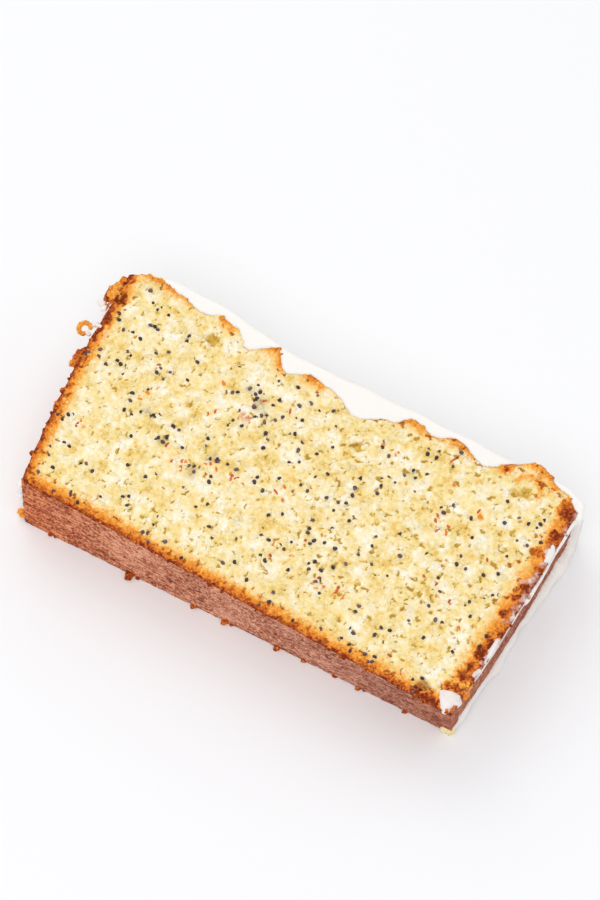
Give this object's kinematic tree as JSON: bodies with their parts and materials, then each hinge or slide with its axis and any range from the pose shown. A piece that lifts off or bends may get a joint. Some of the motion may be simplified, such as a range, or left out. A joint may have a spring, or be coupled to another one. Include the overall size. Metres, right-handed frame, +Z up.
{
  "type": "lemon poppy seed loaf slice",
  "caption": "Thick slice of glazed lemon poppy seed loaf lying on its cut face, with a brown crusty base, a cracked glazed top and glaze run down the sides.",
  "frame": {"origin": "middle of the footprint, on the cut face that the slice rests on", "axes": "+X along the width of the loaf, +Y from the brown base towards the glazed top of the loaf, +Z up out of the upper cut face"},
  "size_m": [0.1278, 0.0672, 0.0234],
  "materials": {
    "crumb": "dry, open sponge crumb, pale yellow inside and baked brown on the base and sides",
    "glaze": "set sugar glaze, smooth with a soft shine"
  },
  "bodies": {
    "root": {"cake": "crumb", "glaze": "glaze", "glaze_drop": "glaze"}
  },
  "joints": []
}
